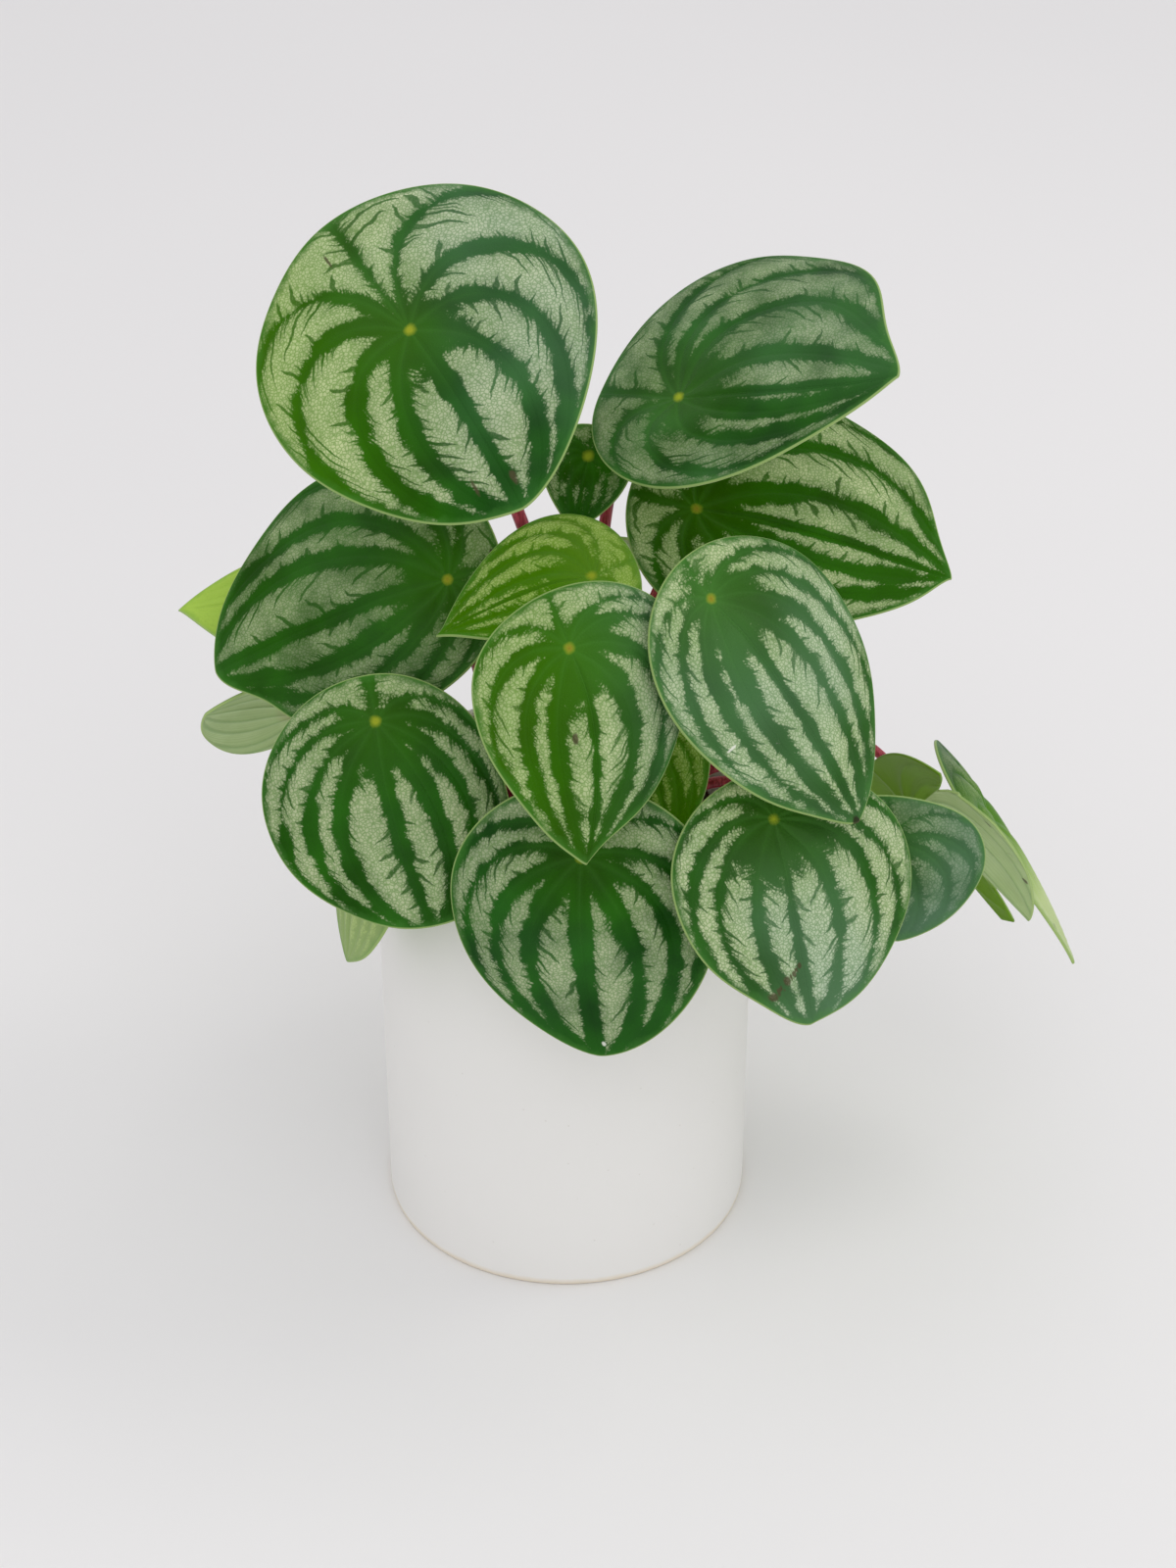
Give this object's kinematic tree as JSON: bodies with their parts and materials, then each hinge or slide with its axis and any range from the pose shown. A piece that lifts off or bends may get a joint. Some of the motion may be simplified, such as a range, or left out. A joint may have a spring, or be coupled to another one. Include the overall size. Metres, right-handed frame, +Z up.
{
  "type": "potted peperomia",
  "caption": "Potted watermelon peperomia: round striped fleshy leaves on thin stalks rising from a crown in a plain straight ceramic pot",
  "frame": {"origin": "centre of the pot's flat underside, on the surface that it stands on", "axes": "+Z up along the pot's axis, -Y towards the front of the plant, +X to its right"},
  "size_m": [0.2729, 0.2101, 0.3295],
  "materials": {
    "pot_ceramic": "matt white ceramic",
    "potting_soil": "peat-based potting soil",
    "plant_crown": "fleshy plant crown",
    "leaf_stalk": "fleshy red stalk",
    "leaf_blade": "fleshy striped leaf, half gloss"
  },
  "bodies": {
    "root": {"pot": "pot_ceramic", "soil": "potting_soil", "crown": "plant_crown", "stalk_01": "leaf_stalk", "blade_01": "leaf_blade", "stalk_02": "leaf_stalk", "blade_02": "leaf_blade", "stalk_03": "leaf_stalk", "blade_03": "leaf_blade", "stalk_04": "leaf_stalk", "blade_04": "leaf_blade", "stalk_05": "leaf_stalk", "blade_05": "leaf_blade", "stalk_06": "leaf_stalk", "blade_06": "leaf_blade", "stalk_07": "leaf_stalk", "blade_07": "leaf_blade", "stalk_08": "leaf_stalk", "blade_08": "leaf_blade", "stalk_09": "leaf_stalk", "blade_09": "leaf_blade", "stalk_10": "leaf_stalk", "blade_10": "leaf_blade", "stalk_11": "leaf_stalk", "blade_11": "leaf_blade", "stalk_12": "leaf_stalk", "blade_12": "leaf_blade", "stalk_13": "leaf_stalk", "blade_13": "leaf_blade", "stalk_14": "leaf_stalk", "blade_14": "leaf_blade", "stalk_15": "leaf_stalk", "blade_15": "leaf_blade", "stalk_16": "leaf_stalk", "blade_16": "leaf_blade", "stalk_17": "leaf_stalk", "blade_17": "leaf_blade", "stalk_18": "leaf_stalk", "blade_18": "leaf_blade", "stalk_19": "leaf_stalk", "blade_19": "leaf_blade", "stalk_20": "leaf_stalk", "blade_20": "leaf_blade", "stalk_21": "leaf_stalk", "blade_21": "leaf_blade", "stalk_22": "leaf_stalk", "blade_22": "leaf_blade", "stalk_23": "leaf_stalk", "blade_23": "leaf_blade", "stalk_24": "leaf_stalk", "blade_24": "leaf_blade"}
  },
  "joints": []
}
